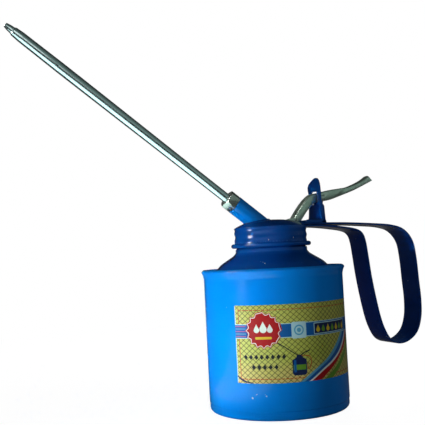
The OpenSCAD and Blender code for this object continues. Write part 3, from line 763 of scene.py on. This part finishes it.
def lever():
    """Pressed channel lever that closes into a solid thumb bar, with rounded shoulders and an open toe."""
    web_start = Vector((14.2, 102.7))
    top = smooth([web_start, (18, 107.9), (22.2, 112.6), (26.4, 115.7), (31.5, 116.6), (38, 118), (44, 118.8),
                  (50.5, 119.7), (56, 121.5), (61, 123.7), (65.2, 126.3)], 8)
    under = smooth([(12.3, 97.2), (16.3, 99.5), (18.8, 101.8), (23, 106.9), (26.8, 110.2), (31, 111.4),
                    (37, 112.2), (45, 114.6), (54, 117.6), (61, 120.5), (67.9, 123.5)], 8)
    stations, corner, tip = 96, 1.0, 0.035

    def at(curve, t):
        place = t * (len(curve) - 1)
        i = min(int(place), len(curve) - 2)
        return curve[i].lerp(curve[i + 1], place - i)

    rows = []
    bm = bmesh.new()
    for k in range(stations + 1):
        t = k / stations
        high, low = at(top, t), at(under, t)
        depth = (high - low).length
        up = (high - low) / depth
        closing = ease((high.x + low.x) / 2, 44, 49)
        web = LEVER_WALL + (depth - LEVER_WALL - 0.05) * closing
        narrow = 1 - 0.1 * ease(high.x, 46, 50)
        narrow *= 0.7 + 0.3 * math.sqrt(1 - min(1, max(0, (t - 1 + tip) / tip)) ** 2)
        half, inner, roof = LEVER_HALF * narrow, LEVER_INSIDE * narrow, max(0.02, depth - web)
        section = [(-half, 0)] + arc(corner - half, depth - corner, corner, range(180, 89, -18))
        section += arc(half - corner, depth - corner, corner, range(90, -1, -18))
        section += [(half, 0), (inner, 0), (inner, roof), (-inner, roof), (-inner, 0)]
        rows.append([bm.verts.new((low.x + up.x * n, y, low.y + up.y * n)) for y, n in section])
    loft(bm, rows)
    channel = build("lever_channel", bm, LEVER_STEEL, 40)

    def pin_place(swing):
        """Where the cross pin stands in the lever's own frame once the lever has swung."""
        x = CROSS_PIN.x - PIVOT.x
        z = CROSS_PIN.z + LIFT_PER_RADIAN * swing - PIVOT.z
        return Vector((PIVOT.x + x * math.cos(swing) - z * math.sin(swing),
                       PIVOT.z + x * math.sin(swing) + z * math.cos(swing)))

    first, last = pin_place(0), pin_place(LEVER_SWING)
    heading = math.degrees(math.atan2(last.y - first.y, last.x - first.x))
    slot_r, reach = 1.1, 2 * LEVER_HALF
    slot = arc(*last, slot_r, (heading + d for d in range(-90, 91, 15)))
    slot += arc(*first, slot_r, (heading + d for d in range(90, 271, 15)))
    toe_slot, channel_slot = (prism(name, slot, -reach, reach, flat_xz) for name in ("toe", "channel"))

    # The toe is two open cheeks, so that the eye of the plunger rod has room to swing between them
    outline = arc(CROSS_PIN.x, CROSS_PIN.z, 2.4, range(110, 291, 9))
    outline += [Vector((15.2, 99.6)), Vector((15.6, 102.3)), web_start]
    bm = bmesh.new()
    for low, high in ((-LEVER_HALF, -LEVER_INSIDE), (LEVER_INSIDE, LEVER_HALF)):
        extrude_outline(bm, outline, low + 0.01, high - 0.01, flat_xz)
    toe = cut(build("lever_toe", bm, LEVER_STEEL, 40), toe_slot)
    cut(channel, rod("pivot_cutter", 1.05, -reach, reach, Matrix.Translation(PIVOT) @ ACROSS), channel_slot)
    bm = bmesh.new()
    for part in (channel, toe):
        bm.from_mesh(part.data)
    bm.to_mesh(channel.data)
    bm.free()
    bpy.data.objects.remove(toe)
    claim(soften(channel, 0.12, 2, 40, 40), "lever", "plated_steel", "lever")


# ---------------------------------------------------------------- spring and the pieces seen from above

def spring_coil():
    """Round wire coil with closed ends."""
    wire, turns, per_turn, sides = 0.4, 9, 36, 12
    mean = (spring_high.x - spring_low.x) / 2 - wire
    low, high = spring_low.z + wire, spring_high.z - wire
    centre = (spring_low + spring_high) / 2
    bm = bmesh.new()
    rows = []
    for i in range(turns * per_turn + 1):
        t = i / (turns * per_turn)
        angle = TAU * turns * t
        rise = t - 0.05 * math.sin(TAU * t)
        z = low + (high - low) * min(1, max(0, rise))
        out = Vector((math.cos(angle), math.sin(angle), 0))
        middle = Vector((centre.x, centre.y, z)) + out * mean
        rows.append([bm.verts.new(middle + out * wire * math.cos(b) + Vector((0, 0, wire * math.sin(b))))
                     for b in (TAU * j / sides for j in range(sides))])
    loft(bm, rows)
    coil = build("spring_coil", bm, SPRING, 60)
    claim(coil, body_of("return_spring"), "spring_steel", "return_spring")
    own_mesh(coil)


def gland():
    """Hexagon gland nut with a chamfered top, seen from above beside the plunger rod."""
    flats, bore_r, neck_r = 8, 1.76, 3.08
    centre = Matrix.Translation((PUMP_X, 0, 0))
    hexagon = arc(PUMP_X, 0, flats / math.sqrt(3), range(0, 360, 60))
    nut = prism("gland_hexagon", hexagon, 94.8, 96.45, flat_xy, BRASS)
    cut(nut, rod("gland_bore", bore_r, 90, 100, centre))
    soften(nut, 0.2, 2)
    neck = fillet([(bore_r, 93, 0), (neck_r, 93, 0.1), (neck_r, 94.85, 0), (bore_r, 94.85, 0)])
    claim(nut, "pump_head", "pump_brass", "gland_nut")
    claim(turned("gland_neck", neck, 64, BRASS, centre), "pump_head", "pump_brass")


# ---------------------------------------------------------------- printed label

LABEL_START = math.radians(-149.3)
LABEL_SPAN = math.radians(110) * (CAN_R + 0.12)
LABEL_LOW, LABEL_HIGH = label_low.z + 0.5, label_high.z - 0.4


def on_label(s, z, layer):
    radius = CAN_R + 0.06 + 0.006 * layer
    angle = LABEL_START + s / (CAN_R + 0.12)
    return Vector((radius * math.cos(angle), radius * math.sin(angle), z))


class Sheet:
    """Flat shapes in (distance along the label, height), wrapped on the can in thin layers."""

    def __init__(self):
        self.bm = bmesh.new()
        self.materials = []

    def ink(self, material):
        if material not in self.materials:
            self.materials.append(material)
        return self.materials.index(material)

    def shape(self, outline, material, layer):
        outline = [(s, z) for s, z in outline]
        part = bmesh.new()
        verts = [part.verts.new((max(0, min(LABEL_SPAN, s)), max(LABEL_LOW, min(LABEL_HIGH, z)), 0))
                 for s, z in outline]
        part.faces.new(verts)
        bmesh.ops.triangulate(part, faces=part.faces[:])
        bmesh.ops.remove_doubles(part, verts=part.verts, dist=1e-4)
        spread = [v.co.x for v in part.verts]
        step = 1.5
        first, last = int(min(spread) // step), int(max(spread) // step) + 1
        for k in range(first, last):
            geometry = part.verts[:] + part.edges[:] + part.faces[:]
            bmesh.ops.bisect_plane(part, geom=geometry, plane_co=(k * step, 0, 0), plane_no=(1, 0, 0),
                                   dist=1e-5)
        index = self.ink(material)
        lookup = {v: self.bm.verts.new(on_label(v.co.x, v.co.y, layer)) for v in part.verts}
        for face in part.faces:
            if face.calc_area() > 1e-7:
                copy = self.bm.faces.new([lookup[v] for v in face.verts])
                copy.material_index = index
                copy.smooth = True
        part.free()

    def line(self, points, width, material, layer):
        """Stroke of constant width along a polyline."""
        points = [Vector(p) for p in points]
        left, right = [], []
        for i, p in enumerate(points):
            along = (points[min(i + 1, len(points) - 1)] - points[max(i - 1, 0)]).normalized()
            normal = Vector((-along.y, along.x)) * width / 2
            left.append(p + normal)
            right.append(p - normal)
        for i in range(len(points) - 1):
            self.shape([left[i], left[i + 1], right[i + 1], right[i]], material, layer)

    def finish(self, name):
        bmesh.ops.scale(self.bm, vec=(MM, MM, MM), verts=self.bm.verts)
        for face in self.bm.faces:
            centre = face.calc_center_median()
            if face.normal.dot(Vector((centre.x, centre.y, 0))) < 0:
                face.normal_flip()
        mesh = bpy.data.meshes.new(name)
        self.bm.to_mesh(mesh)
        self.bm.free()
        for material in self.materials:
            mesh.materials.append(material)
        piece = bpy.data.objects.new(name, mesh)
        bpy.context.collection.objects.link(piece)
        return piece


def rectangle(s0, s1, z0, z1, radius=0):
    return fillet([(s0, z0, radius), (s1, z0, radius), (s1, z1, radius), (s0, z1, radius)], 4)


def scallop(s, z, radius, depth, points, steps=10):
    """Star-edged disc: sharp points with hollows between them."""
    ring = []
    for k in range(points * steps):
        angle = TAU * k / (points * steps)
        r = radius - depth * abs(math.sin(points * angle / 2))
        ring.append((s + r * math.cos(angle), z + r * math.sin(angle)))
    return ring


def drop(s, z, size):
    """Oil drop with its point up."""
    bowl = arc(s, z - 0.3 * size, 0.62 * size, range(-220, 41, 20))
    return bowl + [(s + 0.12 * size, z + 0.75 * size), (s, z + size), (s - 0.12 * size, z + 0.75 * size)]


def ground_paper():
    """Yellow-green ground with a fine dark cross-hatch that follows the can, and a warmer lower left."""
    paint = Paint("label_ground_ink", (0.5, 0.5, 0.1), 0, 0.34, **VARNISH)
    x, y, z = paint.add("SeparateXYZ", paint.place).outputs
    around = paint.maths("MULTIPLY", paint.maths("ARCTAN2", y, x), CAN_R * MM)
    paint.tint(paint.remap(z, LABEL_LOW * MM, 0.030, 0.75, 0), (0.72, 0.48, 0.2))
    paint.tint(paint.remap(paint.noise(45, 2), 0.45, 0.7, 0, 0.5), (0.42, 0.52, 0.06))
    pitch = 1 / 0.0031
    for sign in (1, -1):
        lean = paint.maths("ADD", around, paint.maths("MULTIPLY", z, 1.15 * sign))
        wave = paint.maths("FRACT", paint.maths("MULTIPLY", lean, pitch))
        edge = paint.maths("ABSOLUTE", paint.maths("SUBTRACT", wave, 0.5))
        paint.tint(paint.remap(edge, 0.055, 0.1, 0.9, 0), (0.07, 0.08, 0.015))
    paint.roughen(paint.remap(paint.noise(300), 0.3, 0.7, 0.3, 0.45))
    paint.bump(paint.noise(1400, 3), 0.00001, 0.3)
    return paint.material


def printed_label():
    sheet = Sheet()
    paper = ground_paper()
    white = print_ink("ink_white", (0.78, 0.84, 0.8))
    red = print_ink("ink_red", (0.42, 0.002, 0.005))
    rust = print_ink("ink_rust", (0.42, 0.09, 0.02))
    blue = print_ink("ink_blue", (0.004, 0.1, 0.36))
    sky = print_ink("ink_sky", (0.1, 0.36, 0.56))
    pale = print_ink("ink_pale_blue", (0.42, 0.66, 0.72))
    navy = print_ink("ink_navy", (0.004, 0.012, 0.07))
    black = print_ink("ink_black", (0.008, 0.01, 0.008))
    green = print_ink("ink_green", (0.12, 0.3, 0.02))
    yellow = print_ink("ink_yellow", (0.72, 0.5, 0.02))
    middle = 44.7

    sheet.shape(rectangle(0, LABEL_SPAN, LABEL_LOW, LABEL_HIGH, 0.6), paper, 0)
    sheet.line([(0.15, LABEL_LOW + 0.3), (0.15, LABEL_HIGH - 0.3)], 0.5, pale, 1)

    dash, gap = 1.7, 0.4
    for z in (21.1, 55.3):
        s = 2.2
        while s < LABEL_SPAN - 1:
            sheet.line([(s, z), (min(s + dash, LABEL_SPAN), z)], 0.45, rust, 1)
            s += dash + gap
    z = 21.1
    while z < 55:
        sheet.line([(2.2, z), (2.2, z + dash)], 0.45, rust, 1)
        z += dash + gap

    # Swoosh of colour bands across the lower right, each between two neighbouring curves
    edges = [[(32, 18.6), (41.4, 24.6), (49.2, 29.2), (56, 34.8), (62.2, 40.6), (66, 46)],
             [(37, 18.6), (45.4, 23.9), (53.2, 27.9), (60.6, 32.7), (67.5, 39.8), (70, 45)],
             [(38.4, 18.6), (46, 23.2), (54, 27.2), (61.5, 32), (68.5, 39), (71, 44)],
             [(43.6, 18.6), (52, 23.6), (59.6, 28.6), (66.6, 33.6), (72, 39.6), (73.1, 42)],
             [(46, 18.6), (54.6, 23.4), (62, 28.2), (68.6, 32.6), (73.1, 37.4), (73.1, 38)],
             [(52, 18.6), (61.6, 25), (68.8, 30.6), (73.1, 34.6), (73.1, 35), (73.1, 35.4)]]
    curves = [smooth(edge, 6) for edge in edges]
    for (a, b), ink in zip(((0, 1), (1, 2), (2, 3), (4, 5)), (sky, white, red, green)):
        for i in range(len(curves[a]) - 1):
            quad = [curves[a][i], curves[a][i + 1], curves[b][i + 1], curves[b][i]]
            if max(p.x for p in quad) - min(p.x for p in quad) > 0.01:
                sheet.shape(quad, ink, 2)
    for i in range(len(curves[0]) - 1):
        inner = [curves[0][i].lerp(curves[1][i], 0.45), curves[0][i + 1].lerp(curves[1][i + 1], 0.45)]
        sheet.shape([inner[0], inner[1], curves[1][i + 1], curves[1][i]], blue, 3)
    sheet.line([(0, 22.6), (2, 21), (5, 19.7), (9, 18.9)], 0.8, navy, 2)

    # Band with fine stripes at its left end, the sealed disc and the emblem
    sheet.shape(rectangle(0, LABEL_SPAN, 41.4, 48.2), blue, 4)
    for k in range(5):
        z = 42.3 + 1.25 * k
        ink = sky if k % 2 else print_ink(f"ink_stripe_{k}", (0.4, 0.1, 0.3))
        sheet.line([(0.2, z), (6, z)], 0.4, ink, 5)
    sheet.line([(0, 41.4), (LABEL_SPAN, 41.4)], 0.35, pale, 5)
    sheet.line([(0, 48.2), (LABEL_SPAN, 48.2)], 0.35, pale, 5)
    seal = (15.2, 45.2)
    sheet.shape(scallop(*seal, 9.5, 1.2, 16), red, 6)
    sheet.shape(scallop(*seal, 9.1, 1.2, 16), white, 7)
    sheet.shape(scallop(*seal, 8.75, 1.2, 16), red, 8)
    sheet.shape(drop(seal[0] - 3.4, seal[1] + 0.9, 2.3), white, 9)
    sheet.shape(drop(seal[0], seal[1] + 1.5, 3.0), white, 9)
    sheet.shape(drop(seal[0] + 3.4, seal[1] + 0.9, 2.3), white, 9)
    sheet.shape(rectangle(seal[0] - 4.2, seal[0] + 4.2, seal[1] - 4.4, seal[1] - 3.2, 0.5), yellow, 9)
    emblem = 33.3
    sheet.shape(rectangle(emblem - 3.9, emblem + 3.9, middle - 4.1, middle + 4.1, 1), pale, 6)
    for ring, ink in ((2.6, sky), (1.9, pale), (1.1, sky)):
        circle = arc(emblem, middle, ring, (360 * k / 28 for k in range(28)))
        sheet.shape(circle, ink, 7 + (2.6 - ring) * 2)
    box = (41.6, 67)
    sheet.shape(rectangle(*box, 41.9, 47.6, 0.3), pale, 6)
    sheet.shape(rectangle(box[0] + 0.45, box[1] - 0.45, 42.3, 47.2, 0.2), navy, 7)
    for k in range(7):
        sheet.shape(drop(box[0] + 2.6 + 3.4 * k, middle - 0.1, 1.9), green if k % 2 else yellow, 8)

    # Rows of plain diamonds in place of wording
    for z, first, last, count in ((32, 5.4, 25, 8), (27, 9.4, 21, 5)):
        for k in range(count):
            s = first + (last - first) * k / (count - 1)
            sheet.shape([(s - 1.05, z), (s, z - 1.35), (s + 1.05, z), (s, z + 1.35)], black, 5)

    # Small picture of an oil can
    left, right = 29, 36.5
    sheet.shape([(left, 23.4), (left + 0.8, 22.4), (right - 0.8, 22.4), (right, 23.4), (right, 30),
                 (right - 2, 31.2), (right - 2.2, 32.4), (left + 2.4, 32.4), (left + 2.2, 31.2), (left, 30)],
                navy, 5)
    sheet.shape(rectangle(left + 0.5, right - 0.5, 25, 27.6), green, 6)
    sheet.shape(rectangle(left + 0.8, left + 2, 24, 30), blue, 7)
    sheet.line([(left + 3, 32.2), (left - 3.4, 36.6), (left - 8, 39.6)], 0.5, black, 6)
    sheet.line([(left + 4.6, 32.2), (left + 6.4, 33.4), (left + 9.6, 34.4)], 0.6, black, 6)
    sheet.line(smooth([(left + 5, 32), (left + 9, 31.5), (left + 10.2, 29), (left + 9.4, 26),
                       (left + 8.2, 25.4), (left + 8, 28)], 5), 0.5, rust, 6)
    claim(sheet.finish("printed_label"), "can", "label_paper", "body_label")


# ---------------------------------------------------------------- pieces left as CAD

def dress_cad_nodes():
    """The inner pieces keep their CAD shapes and take the same procedural finishes."""
    brass = ("pump_block", "pump_barrel", "foot_valve_body", "pickup_tube", "inlet_strainer",
             "piston_backing", "piston_follower", "piston_nut")
    finishes = {name: BRASS for name in brass}
    finishes |= {name: RUBBER for name in ("cap_gasket", "spout_seal", "rod_packing")}
    finishes |= {"cup_leather": LEATHER, "ball_cage": NUT_STEEL, "inlet_ball": BRIGHT,
                 "plunger_rod": drawn_steel("rod_ground_steel", (0.6, 0.66, 0.66), 0.18)}
    for name, material in finishes.items():
        node = frame["nodes"][name]
        if not node.data.materials:
            node.data.materials.append(material)
        for slot in node.material_slots:
            slot.link = "OBJECT"
            slot.material = material


can_shell()
shoulder_shell()
cap_shell()
braze_fillet()
spout()
strap_handle()
bracket()
rivets()
pins()
lever()
spring_coil()
gland()
printed_label()
dress_cad_nodes()


# ---------------------------------------------------------------- camera, light and floor

def look_from(azimuth, distance, height, pan, pitch, roll, lens):
    """Camera on a circle round the can, aimed at its axis and then panned, pitched and rolled."""
    az = math.radians(azimuth)
    place = Vector((math.sin(az) * distance, -math.cos(az) * distance, height))
    turn = Matrix.Rotation(az, 3, "Z")
    level = math.cos(pitch)
    forward = turn @ Vector((math.sin(pan) * level, math.cos(pan) * level, math.sin(pitch)))
    level_right = turn @ Vector((math.cos(pan), -math.sin(pan), 0))
    level_up = level_right.cross(forward)
    right = math.cos(roll) * level_right + math.sin(roll) * level_up
    up = right.cross(forward)
    data = bpy.data.cameras.new("photo_camera")
    data.sensor_width = 36
    data.lens = lens
    data.clip_start = 0.02
    camera = bpy.data.objects.new("photo_camera", data)
    axes = Matrix((right, up, -forward)).transposed().to_4x4()
    camera.matrix_world = Matrix.Translation(place) @ axes
    bpy.context.collection.objects.link(camera)
    bpy.context.scene.camera = camera


def area_light(name, place, target, size, power, colour=(1, 1, 1), height=None, spread=180):
    data = bpy.data.lights.new(name, "AREA")
    data.energy = power
    data.color = colour
    data.shape = "RECTANGLE"
    data.size = size
    data.size_y = height or size
    data.spread = math.radians(spread)
    light = bpy.data.objects.new(name, data)
    light.location = place
    light.visible_camera = False
    light.rotation_euler = (Vector(target) - Vector(place)).to_track_quat("-Z", "Y").to_euler()
    bpy.context.collection.objects.link(light)
    return light


def studio():
    """White surround for the eye, dim cool surround for the object, and soft light from the left."""
    world = bpy.data.worlds.new("studio")
    bpy.context.scene.world = world
    world.use_nodes = True
    tree = world.node_tree
    tree.nodes.clear()
    path = shader_node(tree, "LightPath")

    def surround(colour, strength):
        return shader_node(tree, "Background", (*colour, 1), strength).outputs[0]

    def choose(factor, otherwise, chosen):
        return shader_node(tree, "MixShader", path.outputs[factor], otherwise, chosen).outputs[0]

    # What shiny parts mirror: a pale grey-green room, darker towards the ceiling and behind the can
    split = shader_node(tree, "SeparateXYZ", shader_node(tree, "TexCoord").outputs["Generated"])
    rise = shader_node(tree, "MapRange", split.outputs["Z"], -0.1, 0.75, 0.34, 0.07).outputs[0]
    front = shader_node(tree, "MapRange", split.outputs["Y"], -0.3, 0.4, 1, 0.15).outputs[0]
    strength = shader_node(tree, "Math", rise, front, operation="MULTIPLY").outputs[0]
    mirrored = surround((0.74, 1, 0.94), strength)
    lit = choose("Is Glossy Ray", surround((0.85, 0.95, 1), 0.035), mirrored)
    shader_node(tree, "OutputWorld", choose("Is Camera Ray", lit, surround((1, 1, 1), 1)))

    key = area_light("key", (-0.60, -0.13, 0.055), (0, 0.008, 0.04), 0.05, 0.036, height=0.11, spread=14)
    key.visible_glossy = False
    area_light("floor_card", (-0.23, -0.08, 0.003), (-0.23, -0.08, 1), 0.34, 0.5, (0.75, 1, 1), 0.26)
    area_light("front_card", (-0.34, -0.80, 0.30), (0, 0, 0.12), 0.5, 0.5, height=0.4)
    window = area_light("window", (-0.485, 0.07, 0.41), (0, 0, 0.08), 0.13, 5, height=0.45)
    window.visible_diffuse = False
    right = area_light("right_card", (0.42, -0.34, 0.30), (0.06, 0, 0.08), 0.16, 0.3)
    right.visible_glossy = False
    back = area_light("back_card", (0.35, 0.75, 0.4), (0, 0, 0.06), 0.4, 1.6)
    back.visible_glossy = False
    scene = bpy.context.scene
    scene.view_settings.view_transform = "Standard"
    scene.view_settings.look = "None"


def floor():
    """Pale floor that takes a faint shadow near the can and runs out into the white surround."""
    bm = bmesh.new()
    bmesh.ops.create_circle(bm, cap_ends=True, radius=6, segments=96)
    mesh = bpy.data.meshes.new("floor")
    bm.to_mesh(mesh)
    bm.free()
    piece = bpy.data.objects.new("floor", mesh)
    piece.location = (0, 0, cad_box[0][2])
    bpy.context.collection.objects.link(piece)
    paint = bpy.data.materials.new("floor_white")
    paint.use_nodes = True
    tree = paint.node_tree
    tree.nodes.clear()
    place = shader_node(tree, "TexCoord").outputs["Object"]
    away = shader_node(tree, "VectorMath", place, operation="LENGTH").outputs["Value"]
    fade = shader_node(tree, "MapRange", away, 0.1, 0.5, interpolation_type="SMOOTHSTEP").outputs[0]
    dull = shader_node(tree, "BsdfDiffuse", (0.3, 0.3, 0.3, 1)).outputs[0]
    glow = shader_node(tree, "Emission", None, 0.95).outputs[0]
    near = shader_node(tree, "AddShader", dull, glow).outputs[0]
    seen = shader_node(tree, "MixShader", fade, near, shader_node(tree, "Emission").outputs[0]).outputs[0]
    is_camera = shader_node(tree, "LightPath").outputs["Is Camera Ray"]
    shader_node(tree, "OutputMaterial", shader_node(tree, "MixShader", is_camera, dull, seen).outputs[0])
    mesh.materials.append(paint)


look_from(-27, 0.405, 0.083, math.radians(-4.45), math.radians(3.5), math.radians(-2.84), 61.75)
studio()
floor()
